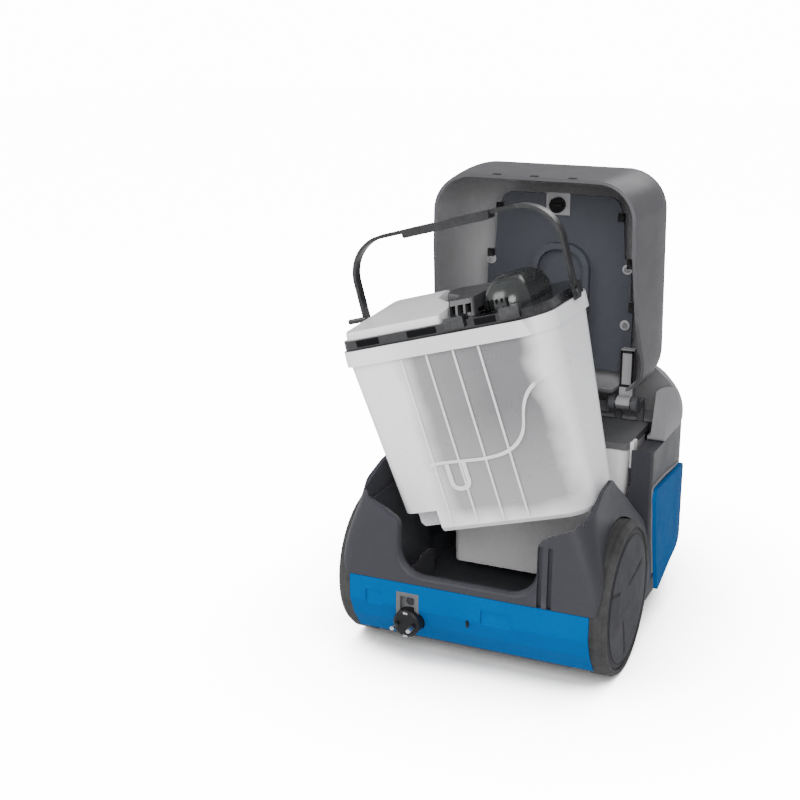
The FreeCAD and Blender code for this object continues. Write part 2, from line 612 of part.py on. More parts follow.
opened("lid_shell", solid("lid_shell", make_lid_shell()))
opened("lid_liner", solid("lid_liner", make_liner()))
knob = fuse("lid_knob_solid", [
    rod("knob_head", ("-2", "-50", "liner_high - 8"), "z", "knob_radius", "7.6"),
    box("knob_grip", ("-9.5", "-51.5", "liner_high - 12"), ("15", "3", "5"))])
opened("lid_knob", knob)
screws = [rod(f"liner_screw_{i}", (f"{x}", f"{y}", "liner_high - 2"), "z", "3.5", "2")
          for i, (x, y) in enumerate(((84, 86), (-84, 86), (84, 20), (-84, 20)))]
opened("liner_screws", group("liner_screws", screws))


def make_arms():
    """The two hinge arms under the lid's front edge, with their pin eyes."""
    arms = []
    for i, x in enumerate(("84", "-100")):
        eye = rod(f"arm_eye_{i}", (x, "hinge_y", "hinge_z"), "x", "hinge_radius + 4", "16")
        bar = box(f"arm_bar_{i}", (x, "112", "liner_high - 12"), ("16", "62", "11.5"))
        neck = box(f"arm_neck_{i}", (x, "hinge_y - 8", "hinge_z"), ("16", "13", "14"))
        arms.append(fuse(f"arm_{i}", [eye, bar, neck]))
    bore = rod("arm_bore", ("-140", "hinge_y", "hinge_z"), "x", "hinge_radius + running_gap", "280")
    return cut("hinge_arms", group("arm_pair", arms), bore)


opened("hinge_arms", make_arms())
pins = [rod(f"hinge_pin_{i}", (x, "hinge_y", "hinge_z"), "x", "hinge_radius", "34") for i, x in enumerate(("75", "-109"))]
keep("hinge_pins", group("hinge_pins", pins))
brackets = []
for i, x in enumerate(("75", "102", "-83", "-109")):
    width = "7"
    ear = rod(f"bracket_ear_{i}", (x, "hinge_y", "hinge_z"), "x", "hinge_radius + 5", width)
    arm = box(f"bracket_arm_{i}", (x, "hinge_y", "hinge_z - 8"), (width, "bay_front - hinge_y", "8"))
    hook = box(f"bracket_hook_{i}", (x, "bay_front - 6", "wall_top"), (width, "6", "hinge_z - wall_top"))
    brackets.append(fuse(f"bracket_{i}", [ear, arm, hook]))
bracket_bore = rod("bracket_bore", ("-140", "hinge_y", "hinge_z"), "x", "hinge_radius", "280")
keep("hinge_brackets", cut("hinge_brackets", group("bracket_set", brackets), bracket_bore))

# ---------------------------------------------------------------- waste-water tank and its handle

TANK_TILT = -15.7
TANK_POLE = FreeCAD.Vector(-486.6, 0, 167)
TANK_LIFTED = FreeCAD.Placement(FreeCAD.Vector(), FreeCAD.Rotation(FreeCAD.Vector(0, 1, 0), TANK_TILT), TANK_POLE)


def lifted(node, thing):
    """Keeps a piece of the waste-water tank, built in its seat, in the tank's lifted place."""
    return keep(node, moved(thing, TANK_LIFTED))


def tank_ring(rise, inset=0.0, radius=34):
    """The tank's level outline at a height above its foot."""
    part_way = rise / size("tank_high")
    span = [size(a) + (size(b) - size(a)) * part_way for a, b in (
        ("tank_foot_half", "tank_half"), ("tank_foot_rear", "tank_rear"), ("tank_foot_front", "tank_front"))]
    half, rear, front = (value - inset for value in span)
    corners = ring(half, -rear, front, radius - inset)
    return [(-half, -rear, radius * 0.4 - inset)] + corners[1:]


def make_tank():
    """The translucent tank: tapered walls, a rim band, a notch in one lower corner and pressed ridges."""
    low, high, wall = size("tank_low"), size("tank_high"), size("tank_wall")
    outer = level_loft([(tank_ring(4, 4, 30), low), (tank_ring(4, 0, 32), low + 5), (tank_ring(high), low + high)], True)
    inner = level_loft([(tank_ring(4, wall + 3, 32), low + wall), (tank_ring(4, wall, 32), low + 7),
                        (tank_ring(high, wall), low + high + 0.01)], True)
    band = slab(tank_ring(high, -2.5), low + high - 17, low + high)
    band = band.cut(slab(tank_ring(high, wall), low, low + high + 1))
    notch = block((-130, -90, low - 1), (-66, -14, low + 26))
    notch_wall = block((-130, -90, low), (-66 + wall, -14 + wall, low + 26 + wall)).common(outer)
    wave = ((118, 172), (101, 160), (82, 150), (67, 128), (60, 106), (46, 90), (24, 82), (-58, 80))
    ridge = curved_strip([(x, 0, low + z) for x, z in wave], (2, 0, -3.5), (0, -84, 0))
    ribs = [block((x, -90, low + 8), (x + 2.4, 0, low + high - 18)) for x in (-52, -22, 9, 38)]
    catch = upright_slab([(-39, low + 78, 0), (-39, low + 46, 11), (-14, low + 46, 11), (-14, low + 78, 0)], -90, 0)
    hollow = [(-34, low + 79, 0), (-34, low + 51, 6.5), (-19, low + 51, 6.5), (-19, low + 79, 0)]
    catch = catch.cut(upright_slab(hollow, -91, 1))
    raised = level_loft([(tank_ring(4, -1.6, 32), low + 3), (tank_ring(high, -1.6), low + high)], True)
    raised = raised.common(ridge.fuse(ribs + [catch])).cut(inner)
    shell = outer.cut(inner).fuse([band, notch_wall.cut(inner), raised])
    shell = shell.fuse(notch_wall).cut(notch)
    return shell.removeSplitter()


lifted("waste_tank", solid("waste_tank", make_tank()))


def make_frame():
    """The dark frame round the tank's mouth, with its deck, bosses for the handle and two latches."""
    low, high = size("tank_low") + size("tank_high"), size("tank_low") + size("frame_high")
    rise = size("tank_high")
    frame = slab(tank_ring(rise, 0), low + 1.8, high)
    hole = slab([(-92, -54, 14), (90, -54, 14), (82, 66, 14), (-82, 66, 14)], low - 1, high + 1)
    latches = [block((x, -76.5, high - 7), (x + 22, -61, high + 5)) for x in (10, 72)]
    return frame.cut(hole).fuse(latches)


lifted("tank_frame", solid("tank_frame", make_frame()))


def make_gasket():
    """The soft ring between the tank's mouth and its frame."""
    low, rise = size("tank_low") + size("tank_high"), size("tank_high")
    return slab(tank_ring(rise), low + 0.1, low + 1.7).cut(slab(tank_ring(rise, 4), low, low + 2))


lifted("tank_gasket", solid("tank_gasket", make_gasket()))


def make_cover():
    """The white cover over the tank's left part, rising towards the front."""
    low = size("tank_low") + size("frame_high") + 0.2
    foot = [(-113, -68, 10), (2, -68, 4), (2, -22, 10), (-38, 30, 10), (-42, 78, 6), (-112, 78, 20)]
    top = [(-106, -61, 8), (-1, -61, 4), (-1, -23, 10), (-42, 28, 10), (-46, 72, 6), (-105, 72, 18)]
    body = level_loft([(foot, low), (foot, low + 6), (top, low + 34)], True)
    slope = [(-90, low + 7, 0), (70, low + 18, 20), (90, low + 10, 0), (90, low + 60, 0), (-90, low + 60, 0)]
    under = level_loft([([(x * 0.96 - 2, y * 0.95, r) for x, y, r in foot], low - 1),
                        ([(x * 0.94 - 2, y * 0.93, r) for x, y, r in top], low + 31)], True)
    lowered = side_slab([(y, z - 3, r) for y, z, r in slope], 200)
    return body.cut(side_slab(slope, 200)).cut(under.cut(lowered))


lifted("tank_cover", solid("tank_cover", make_cover()))


def make_block():
    """The separator block: a dark box beside the cover with three ports in its rear."""
    low = size("tank_low") + size("frame_high") + 0.2
    outline = [(6, -58, 4), (38, -58, 4), (38, 52, 6), (-34, 70, 6), (-32, 32, 6), (6, -16, 6)]
    top = [(8, -50, 4), (37, -50, 4), (37, 48, 6), (-30, 64, 6), (-28, 33, 6), (8, -14, 6)]
    body = level_loft([(outline, low), (top, low + 18)], True)
    ports = [block((x, -61, low + 4), (x + 6.5, -40, low + 13)) for x in (10, 19, 28)]
    return body.cut(ports[0].fuse(ports[1:]))


lifted("separator_block", solid("separator_block", make_block()))


def make_dome():
    """The smoked separator hood: a low domed shell on a round foot, with a pipe down into the tank."""
    low = size("tank_low") + size("frame_high") + 0.2
    x, y = size("dome_x") + 5, 0

    def egg(scale, z, inset=0.0):
        a, b = 25 * scale - inset, 52 * scale - inset
        return [(x - a, y - b, a * 0.9), (x + a, y - b, a * 0.9), (x + a, y + b, a * 0.9), (x - a, y + b, a * 0.9)], z
    outer = level_loft([egg(1, low), egg(1, low + 7), egg(0.9, low + 18), egg(0.66, low + 27), egg(0.4, low + 30)])
    inner = level_loft([egg(1, low - 1, 2.5), egg(1, low + 7, 2.5), egg(0.9, low + 16, 2.5), egg(0.66, low + 24.5, 2.5),
                        egg(0.4, low + 27.5, 2)])
    return outer.cut(inner)


lifted("separator_dome", solid("separator_dome", make_dome()))
lifted("inlet_pipe", tube("inlet_pipe", ("dome_x + 4", "0", "tank_low + 110"), "z", "16", "13.5", "frame_high - 111"))
lifted("float_ball", ball("float_ball", ("dome_x + 4", "0", "tank_low + 65.5"), "18"))
cage_posts = [rod(f"cage_post_{i}", (f"dome_x + 4 + {dx}", f"{dy}", "tank_low + 58"), "z", "1.5", "51.8")
              for i, (dx, dy) in enumerate(((20.5, 0), (-20.5, 0), (0, 20.5), (0, -20.5)))]
cage_ring = tube("cage_ring", ("dome_x + 4", "0", "tank_low + 56"), "z", "22.5", "17", "3")
cage_top = tube("cage_top", ("dome_x + 4", "0", "tank_low + 107"), "z", "22.5", "13.5", "2.8")
lifted("float_cage", fuse("float_cage", cage_posts + [cage_ring, cage_top]))
pivots = [rod(f"bail_pin_{i}", (x, "bail_y", "tank_low + bail_pivot"), "x", "pin_radius", "bail_half + 2 - tank_half")
          for i, x in enumerate(("tank_half", "-bail_half - 2"))]
bosses = [rod(f"bail_boss_{i}", (x, "bail_y", "tank_low + bail_pivot"), "x", "pin_radius + 0.5",
              "bail_half - 2.4 - tank_half") for i, x in enumerate(("tank_half", "-bail_half + 2.4"))]
lifted("bail_pins", group("bail_pins", [fuse(f"bail_pin_set_{i}", [a, b]) for i, (a, b) in enumerate(zip(pivots, bosses))]))


def make_bail():
    """The carrying handle: a flat strip bent into an arch, with an eye at each end."""
    half, strip, radius = size("bail_half"), size("bail_strip"), size("bail_radius")
    low = size("tank_low") + size("bail_pivot") - 8
    high = size("tank_low") + size("bail_high")
    outer = [(-half - strip / 2, low, 3), (half + strip / 2, low, 3), (half + strip / 2, high, radius),
             (-half - strip / 2, high, radius)]
    inner = [(-half + strip / 2, low - 20, 1), (half - strip / 2, low - 20, 1),
             (half - strip / 2, high - strip, radius - strip), (-half + strip / 2, high - strip, radius - strip)]
    y = size("bail_y") - size("bail_width") / 2
    arch = upright_slab(outer, y, y + size("bail_width")).cut(upright_slab(inner, y - 1, y + size("bail_width") + 1))
    grip = upright_slab([(-52, high - 9, 3), (52, high - 9, 3), (52, high, 0), (-52, high, 0)], y - 3,
                        y + size("bail_width") + 3)
    bore = Part.makeCylinder(size("pin_radius") + size("running_gap"), 300,
                             FreeCAD.Vector(-150, size("bail_y"), size("tank_low") + size("bail_pivot")),
                             FreeCAD.Vector(1, 0, 0))
    return arch.fuse(grip).cut(bore).removeSplitter()


lifted("bail_handle", solid("bail_handle", make_bail()))
clip_rod = rod("clip_rod", ("-bail_half - 18", "bail_y - bail_width / 2 - 3.2", "tank_low + bail_pivot + 16"), "x", "3", "22")
lifted("handle_clip", clip_rod)

# ---------------------------------------------------------------- fresh-water tank


def make_fresh_tank():
    """The fresh-water tank in the front of the bay: tapered walls with a pressed-in face."""
    left, right, rear, front = (size("fresh_" + k) for k in ("left", "right", "rear", "front"))
    low, high, wall = size("fresh_low"), size("fresh_high"), size("fresh_wall")
    foot = [(-left + 5, rear + 4, 8), (right - 7, rear + 4, 8), (right - 7, front - 2, 8), (-left + 5, front - 2, 8)]
    top = [(-left, rear, 12), (right, rear, 12), (right, front, 12), (-left, front, 12)]
    shrink = [[(x - math.copysign(wall, x), y + (wall if i < 2 else -wall), r - wall) for i, (x, y, r) in enumerate(o)]
              for o in (foot, top)]
    outer = level_loft([(foot, low), (top, high)], True)
    inner = level_loft([(shrink[0], low + wall), (shrink[1], high + 0.01)], True)
    return outer.cut(inner)


keep("fresh_tank", solid("fresh_tank", make_fresh_tank()))
lid_box = box("fresh_cover_box", ("-fresh_left - 1", "fresh_rear - 1", "fresh_high + 0.2"),
              ("fresh_left + fresh_right + 2", "fresh_front - fresh_rear + 2", "8"))
keep("fresh_tank_cover", rounded("fresh_tank_cover", lid_box, 7, is_vertical))
latch_post = box("latch_post", ("fresh_right + 1.2", "fresh_rear + 6", "fresh_high - 22"), ("4", "16", "31"))
keep("fresh_latch", rounded("fresh_latch", latch_post, 1.5, lies_at("Z", size("fresh_high") + 9)))
keep("dock_bracket", cut("dock_bracket", box("dock_box", ("26", "192", "wall_top + 12"), ("44", "13.8", "13")),
                         box("dock_slot", ("38", "180", "wall_top + 16"), ("20", "40", "5"))))

# ---------------------------------------------------------------- cord outlet and plug


def make_outlet():
    """The grey surround of the cord outlet, set into the rear bumper's gap, with a round nest for the plug."""
    x, face = -size("plug_x"), size("rear_face")
    surround = block((x - 14.8, -face - 0.3, 47.2), (x + 11.8, -face + 6.7, 85.8))
    mouth = block((x - 10, -face - 1, 52), (x + 7, -face + 5, 81))
    hole = Part.makeCylinder(5, 40, FreeCAD.Vector(x, -face - 5, 74), FreeCAD.Vector(0, 1, 0))
    return surround.cut(mouth).cut(hole).cut(plug_nest(0.3))


keep("cord_outlet", solid("cord_outlet", make_outlet()))
plug = turned("power_plug_body", [("0", "0"), ("plug_radius - 2", "0"), ("plug_radius", "2"), ("plug_radius", "14"),
                                  ("plug_radius - 4", "20"), ("0", "20")])
place(plug, ("-plug_x", "-rear_face - 8", "plug_z"))
plug_pins = [rod(f"plug_pin_{i}", (f"-plug_x + {dx}", "-rear_face - 23", "plug_z"), "y", "2.4", "17")
             for i, dx in enumerate((-9.5, 9.5))]
keep("power_plug", fuse("power_plug", [plug] + plug_pins))

screws = [rod(f"chassis_screw_{i}", (f"{x}", f"{y}", "pan_low - 1.6"), "z", "4", "1.6")
          for i, (x, y) in enumerate((side * x, y) for side in (1, -1) for x, y in ((100, -40), (100, 60), (112, 190)))]
keep("chassis_screws", group("chassis_screws", screws))

doc.recompute()
os.makedirs("parts", exist_ok=True)
for thing in doc.Objects:
    if "Invalid" in thing.State or "Error" in thing.State:
        raise RuntimeError(f"{thing.Name} did not build: {thing.State}")
for node, thing in parts.items():
    if thing.Shape.isNull() or not thing.Shape.isValid():
        raise RuntimeError(f"{node} has no valid shape")
    thing.Shape.exportStep(f"parts/{node}.step")
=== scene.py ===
import json
import math

import bmesh
import bpy
from mathutils import Matrix, Vector


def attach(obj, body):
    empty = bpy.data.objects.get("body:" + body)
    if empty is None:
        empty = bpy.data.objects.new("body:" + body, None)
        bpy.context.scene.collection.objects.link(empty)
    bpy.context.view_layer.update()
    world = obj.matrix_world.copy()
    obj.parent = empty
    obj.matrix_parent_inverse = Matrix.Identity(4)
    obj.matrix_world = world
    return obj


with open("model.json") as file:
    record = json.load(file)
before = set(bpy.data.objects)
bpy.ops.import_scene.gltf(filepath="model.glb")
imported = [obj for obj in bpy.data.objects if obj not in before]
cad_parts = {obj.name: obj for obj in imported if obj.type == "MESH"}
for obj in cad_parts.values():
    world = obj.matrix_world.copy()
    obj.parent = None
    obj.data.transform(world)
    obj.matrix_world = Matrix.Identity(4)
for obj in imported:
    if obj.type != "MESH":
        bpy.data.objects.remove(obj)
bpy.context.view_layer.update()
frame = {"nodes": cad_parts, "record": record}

# Lengths are in metres, and path and corner points in millimetres, in the row frame.
MM = 0.001

# The lifted waste tank: the turn about its far pole that carries it up from its seat, and the
# heights of its foot and of its mouth above the foot while it is seated.
TANK_POLE = Matrix.Translation((-0.4866, 0, 0.167))
TANK_TURN = Matrix.Rotation(math.radians(-15.7), 4, "Y")
TANK_SEAT = TANK_POLE @ TANK_TURN @ TANK_POLE.inverted()
TANK_FOOT = 0.026
TANK_RISE = 0.219

SPLIT_ANGLE = math.radians(30)
PIECE_SPLIT_ANGLE = math.radians(35)
FLAT_FACE_WEIGHT = 80

# ---------------------------------------------------------------- materials


class Nodes:
    """A short way to write a node material."""

    def __init__(self, name):
        self.material = bpy.data.materials.new(name)
        self.material.use_nodes = True
        self.tree = self.material.node_tree
        self.shader = self.tree.nodes["Principled BSDF"]
        self.coords = self.add("ShaderNodeTexCoord").outputs["Object"]

    def add(self, kind, **values):
        node = self.tree.nodes.new(kind)
        for key, value in values.items():
            if hasattr(node, key):
                setattr(node, key, value)
            else:
                node.inputs[key.replace("_", " ")].default_value = value
        return node

    def link(self, start, end):
        self.tree.links.new(start, end)

    def noise(self, scale, detail=4.0, rough=0.55, stretch=None):
        """Noise in object space, in features per metre, perhaps stretched along an axis."""
        node = self.add("ShaderNodeTexNoise", Scale=scale, Detail=detail, Roughness=rough)
        source = self.coords
        if stretch:
            mapping = self.add("ShaderNodeMapping")
            mapping.inputs["Scale"].default_value = stretch
            self.link(source, mapping.inputs["Vector"])
            source = mapping.outputs["Vector"]
        self.link(source, node.inputs["Vector"])
        return node.outputs["Fac"]

    def ramp(self, source, stops):
        node = self.add("ShaderNodeValToRGB")
        while len(node.color_ramp.elements) < len(stops):
            node.color_ramp.elements.new(0.5)
        for element, (place, color) in zip(node.color_ramp.elements, stops):
            element.position = place
            element.color = (*color, 1.0)
        self.link(source, node.inputs["Fac"])
        return node.outputs["Color"]

    def span(self, source, low, high, start=0.3, end=0.7):
        """The source stretched from start..end to low..high."""
        node = self.add("ShaderNodeMapRange")
        for key, value in (("From Min", start), ("From Max", end), ("To Min", low), ("To Max", high)):
            node.inputs[key].default_value = value
        self.link(source, node.inputs["Value"])
        return node.outputs["Result"]

    def mix(self, factor, a, b):
        """Colour a to colour b by a factor; each colour is a value or a socket."""
        node = self.add("ShaderNodeMix", data_type="RGBA")
        for key, value in (("Factor", factor), ("A", a), ("B", b)):
            kind = "VALUE" if key == "Factor" else "RGBA"
            sockets = [s for s in node.inputs if s.name == key and s.type == kind]
            if isinstance(value, bpy.types.NodeSocket):
                self.link(value, sockets[0])
            else:
                sockets[0].default_value = value if key == "Factor" else (*value, 1.0)
        return [s for s in node.outputs if s.type == "RGBA"][0]

    def math(self, operation, a, b):
        node = self.add("ShaderNodeMath", operation=operation)
        for socket, value in zip(node.inputs, (a, b)):
            if isinstance(value, bpy.types.NodeSocket):
                self.link(value, socket)
            else:
                socket.default_value = value
        return node.outputs[0]

    def sum(self, a, b):
        return self.math("ADD", a, b)

    def times(self, a, b):
        return self.math("MULTIPLY", a, b)

    def largest(self, a, b):
        return self.math("MAXIMUM", a, b)

    def bump(self, height, strength, distance):
        node = self.add("ShaderNodeBump", Strength=strength, Distance=distance)
        self.link(height, node.inputs["Height"])
        before = self.shader.inputs["Normal"].links
        if before:
            self.link(before[0].from_socket, node.inputs["Normal"])
        self.link(node.outputs["Normal"], self.shader.inputs["Normal"])


def tinted(color, factor):
    return tuple(min(1.0, channel * factor) for channel in color)


def moulded(name, color, roughness, grain=0.25, wear=0.12, specular=0.22):
    """Moulded plastic: slight clouding, a fine spark-eroded grain, and edges rubbed a little paler."""
    n = Nodes(name)
    cloud = n.noise(14.0, 5.0)
    base = n.ramp(cloud, [(0.25, tinted(color, 0.93)), (0.75, tinted(color, 1.06))])
    edge = n.add("ShaderNodeNewGeometry").outputs["Pointiness"]
    rub = n.times(n.span(edge, 0.0, 1.0, 0.57, 0.67), n.span(n.noise(90.0, 6.0, 0.7), 0.0, wear * 2))
    rubbed = tuple(channel + (1 - channel) * 0.16 for channel in color)
    n.link(n.mix(rub, base, rubbed), n.shader.inputs["Base Color"])
    smear = n.noise(22.0, 6.0, 0.65)
    n.link(n.span(smear, roughness * 0.86, min(1.0, roughness * 1.16)), n.shader.inputs["Roughness"])
    n.bump(n.noise(1500.0, 2.0), grain, 0.00012)
    n.bump(n.noise(26.0, 2.0), 0.12, 0.0006)
    n.shader.inputs["Specular IOR Level"].default_value = specular
    return n


def translucent(name, color, roughness, transmission, subsurface=0.2):
    """Natural polypropylene: milky, faintly streaked along its flow, part see-through."""
    n = Nodes(name)
    streak = n.noise(9.0, 6.0, 0.6, (1.0, 1.0, 0.35))
    base = n.ramp(streak, [(0.3, tinted(color, 0.94)), (0.7, color)])
    n.link(base, n.shader.inputs["Base Color"])
    n.link(n.span(n.noise(60.0, 4.0), roughness * 0.85, roughness * 1.2), n.shader.inputs["Roughness"])
    n.shader.inputs["Transmission Weight"].default_value = transmission
    n.shader.inputs["IOR"].default_value = 1.46
    n.shader.inputs["Subsurface Weight"].default_value = subsurface
    n.shader.inputs["Subsurface Radius"].default_value = (0.02, 0.02, 0.022)
    n.shader.inputs["Subsurface Scale"].default_value = 0.5
    n.bump(n.noise(900.0, 2.0), 0.12, 0.0001)
    n.bump(n.noise(30.0, 3.0), 0.2, 0.0006)
    return n


def tank_plastic(name):
    """The waste tank's milky wall: white at its sides, foot and ridges, with painted shade in grey across the
    middle of its rear, darkest high up on the right.
    """
    n = translucent(name, (0.86, 0.86, 0.88), 0.3, 0.3, subsurface=0.0)

    def along(direction, offset):
        """The distance along a direction from a plane at an offset."""
        dot = n.add("ShaderNodeVectorMath", operation="DOT_PRODUCT")
        n.link(n.coords, dot.inputs[0])
        dot.inputs[1].default_value = direction
        return n.sum(dot.outputs["Value"], offset)

    # Places in the tank's own frame: across, to the front, and up as a part of its rise.
    back = TANK_SEAT.inverted()
    across, height = (along(tuple(back[i][:3]), back[i][3]) for i in (0, 2))
    front = along((0, 1, 0), 0)
    rise = n.times(n.sum(height, -TANK_FOOT), 1 / TANK_RISE)

    # The walls lean outwards as they rise, and whatever stands proud of them is a ridge.
    past_rear = n.sum(n.times(front, -1), n.sum(n.times(rise, -0.027), -0.045))
    past_side = n.sum(across, n.sum(n.times(rise, -0.011), -0.106))
    raised = n.largest(n.span(past_rear, 0, 1, 0.0004, 0.0013), n.span(past_side, 0, 1, 0.0004, 0.0013))

    # Painted shade: the middle of the rear wall is painted grey for the shade seen inside the milky tank. It
    # is darker higher up and to the right and fades towards the front, and the ridges stay white.
    wavy = n.times(n.sum(n.noise(16.0, 3.0), -0.5), 0.03)
    place = n.sum(across, wavy)
    middle = n.times(n.span(place, 0, 1, -0.064, -0.036), n.span(place, 1, 0, 0.082, 0.104))
    middle = n.times(middle, n.span(n.sum(height, wavy), 0, 1, TANK_FOOT + 0.004, TANK_FOOT + 0.024))
    deeper_shade = n.times(n.span(rise, 0, 1, 0.05, 0.6), n.span(place, 0.4, 1, -0.05, 0.04))
    shadow = n.mix(deeper_shade, (0.42, 0.415, 0.425), (0.19, 0.187, 0.195))
    wall = n.mix(n.times(middle, n.span(front, 1, 0.15, -0.03, 0.0)), (0.95, 0.95, 0.97), shadow)
    n.link(n.mix(n.times(raised, 0.85), wall, (0.93, 0.93, 0.95)), n.shader.inputs["Base Color"])
    n.link(n.span(middle, 0.06, 0.12, 0, 1), n.shader.inputs["Transmission Weight"])
    return n


def smoked(name):
    """Smoked clear plastic with light scuffs."""
    n = Nodes(name)
    base = n.ramp(n.noise(12.0), [(0.3, (0.018, 0.02, 0.02)), (0.7, (0.03, 0.033, 0.032))])
    n.link(base, n.shader.inputs["Base Color"])
    n.link(n.span(n.noise(70.0, 6.0, 0.7), 0.2, 0.32), n.shader.inputs["Roughness"])
    n.shader.inputs["Transmission Weight"].default_value = 0.12
    n.shader.inputs["IOR"].default_value = 1.49
    n.shader.inputs["Coat Weight"].default_value = 0.3
    n.shader.inputs["Coat Roughness"].default_value = 0.22
    n.bump(n.noise(16.0, 2.0), 0.1, 0.0005)
    return n


def tyre_rubber(name, color):
    """Rubber with fine ribs round the tread and a dusty bloom."""
    n = Nodes(name)
    dust = n.noise(30.0, 7.0, 0.7)
    dusty = tuple(channel + 0.035 for channel in color)
    n.link(n.ramp(dust, [(0.35, color), (0.75, dusty)]), n.shader.inputs["Base Color"])
    n.link(n.span(n.noise(50.0, 5.0), 0.62, 0.86), n.shader.inputs["Roughness"])
    ribs = n.add("ShaderNodeTexWave", wave_type="BANDS", bands_direction="X", Scale=52.0)
    n.link(n.coords, ribs.inputs["Vector"])
    n.bump(ribs.outputs["Fac"], 0.35, 0.0006)
    n.bump(n.noise(700.0, 3.0), 0.25, 0.0002)
    return n


def metal(name, color, roughness):
    """Turned steel with fine drawn lines."""
    n = Nodes(name)
    lines = n.noise(500.0, 3.0, 0.6, (0.05, 1.0, 1.0))
    n.link(n.ramp(lines, [(0.3, tinted(color, 0.85)), (0.7, color)]), n.shader.inputs["Base Color"])
    n.shader.inputs["Metallic"].default_value = 1.0
    n.link(n.span(n.noise(40.0), roughness * 0.8, roughness * 1.3), n.shader.inputs["Roughness"])
    n.bump(lines, 0.1, 0.0001)
    return n


def pleated(name):
    """Filter paper folded in fine upright pleats, with painted shade: darker in each fold and paler on each
    crest.
    """
    n = Nodes(name)
    fold = n.add("ShaderNodeTexWave", wave_type="BANDS", bands_direction="X", Scale=60.0)
    n.link(n.coords, fold.inputs["Vector"])
    # Painted shade: the paper's colour follows the folds, dark in the hollows and pale on the crests.
    paper = n.ramp(fold.outputs["Fac"], [(0.1, (0.42, 0.41, 0.37)), (0.9, (0.74, 0.73, 0.68))])
    n.link(paper, n.shader.inputs["Base Color"])
    n.shader.inputs["Roughness"].default_value = 0.9
    n.bump(fold.outputs["Fac"], 0.8, 0.001)
    n.bump(n.noise(900.0), 0.3, 0.0002)
    return n


RECIPES = {
    "casing_plastic": moulded("casing", (0.034, 0.0345, 0.041), 0.4, 0.2),
    "pan_plastic": moulded("pan", (0.06, 0.06, 0.068), 0.55, 0.3),
    "bumper_plastic": moulded("bumper", (0.0, 0.085, 0.27), 0.55, 0.12, 0.0, specular=0.03),
    "hood_plastic": moulded("hood", (0.19, 0.188, 0.195), 0.38, 0.2),
    "lid_plastic": moulded("lid", (0.086, 0.084, 0.091), 0.42, 0.2, specular=0.16),
    "liner_plastic": moulded("liner", (0.06, 0.064, 0.076), 0.42, 0.15),
    "socket_plastic": moulded("socket", (0.04, 0.04, 0.045), 0.45, 0.25),
    "outlet_plastic": moulded("outlet", (0.1, 0.1, 0.105), 0.5, 0.25),
    "black_plastic": moulded("black_fittings", (0.004, 0.004, 0.0045), 0.5, 0.15, specular=0.08),
    "frame_plastic": moulded("tank_frame_plastic", (0.012, 0.012, 0.014), 0.16, 0.06, specular=0.5),
    "handle_plastic": moulded("handle_plastic", (0.009, 0.0095, 0.0105), 0.3, 0.12, specular=0.5),
    "cover_plastic": moulded("cover_white", (0.8, 0.8, 0.81), 0.3, 0.1, 0.02),
    "block_plastic": moulded("block_grey", (0.045, 0.0445, 0.047), 0.34, 0.2, specular=0.5),
    "cap_plastic": moulded("wheel_cap", (0.034, 0.034, 0.04), 0.5, 0.3, specular=0.1),
    "float_plastic": moulded("float_white", (0.75, 0.74, 0.7), 0.4, 0.15),
    "tank_plastic": tank_plastic("tank_translucent"),
    "fresh_plastic": translucent("fresh_translucent", (0.85, 0.84, 0.85), 0.34, 0.12),
    "smoked_plastic": smoked("smoked_hood"),
    "plug_rubber": moulded("plug_black", (0.01, 0.01, 0.011), 0.4, 0.3),
    "rubber": moulded("rubber_black", (0.014, 0.014, 0.014), 0.8, 0.5),
    "tyre_rubber": tyre_rubber("tyre", (0.014, 0.014, 0.0142)),
    "steel": metal("steel", (0.62, 0.62, 0.64), 0.3),
    "alloy": metal("alloy", (0.75, 0.75, 0.77), 0.35),
    "filter_fabric": pleated("filter_paper"),
}


def paint_light_inside(n, centre, color):
    """Paints the faces that look towards a centre a paler colour: painted light, standing in for light
    falling into a hollow.
    """
    away = n.add("ShaderNodeVectorMath", operation="SUBTRACT")
    n.link(n.coords, away.inputs[0])
    away.inputs[1].default_value = centre
    facing = n.add("ShaderNodeVectorMath", operation="DOT_PRODUCT")
    n.link(away.outputs["Vector"], facing.inputs[0])
    n.link(n.add("ShaderNodeTexCoord").outputs["Normal"], facing.inputs[1])
    outside = n.span(facing.outputs["Value"], 1, 0, -0.012, 0.0)
    before = n.shader.inputs["Base Color"].links[0].from_socket
    n.link(n.mix(outside, before, color), n.shader.inputs["Base Color"])


# Painted light: faces in the lid material that look towards the lid's middle are painted paler than its
# outside.
LID_MIDDLE = (0.0, 0.15, 0.38)
paint_light_inside(RECIPES["lid_plastic"], LID_MIDDLE, (0.34, 0.335, 0.345))
LOOKS = {name: recipe.material for name, recipe in RECIPES.items()}
NODE_LOOKS = {"fresh_tank_cover": "outlet_plastic"}


def shade_smooth(thing, split_angle):
    """Smooth shading, with hard edges above an angle."""
    for polygon in thing.data.polygons:
        polygon.use_smooth = True
    thing.modifiers.new("crease", "EDGE_SPLIT").split_angle = split_angle


for part in frame["record"]["subparts"]:
    node = frame["nodes"][part["node"]]
    node.data.materials.clear()
    node.data.materials.append(LOOKS[NODE_LOOKS.get(part["node"], part["material_slot"])])
    shade_smooth(node, SPLIT_ANGLE)
    node.modifiers.new("shading", "WEIGHTED_NORMAL").weight = FLAT_FACE_WEIGHT

# ---------------------------------------------------------------- small moulded details


def keep_piece(name, form, look, body, motion=None):
    """Turns a form into a finished new piece, in its material, riding on a body."""
    mesh = bpy.data.meshes.new(name)
    bmesh.ops.recalc_face_normals(form, faces=form.faces)
    form.to_mesh(mesh)
    form.free()
    if motion:
        mesh.transform(motion)
    mesh.materials.append(LOOKS[look])
    piece = bpy.data.objects.new(name, mesh)
    bpy.context.scene.collection.objects.link(piece)
    shade_smooth(piece, PIECE_SPLIT_ANGLE)
    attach(piece, body)


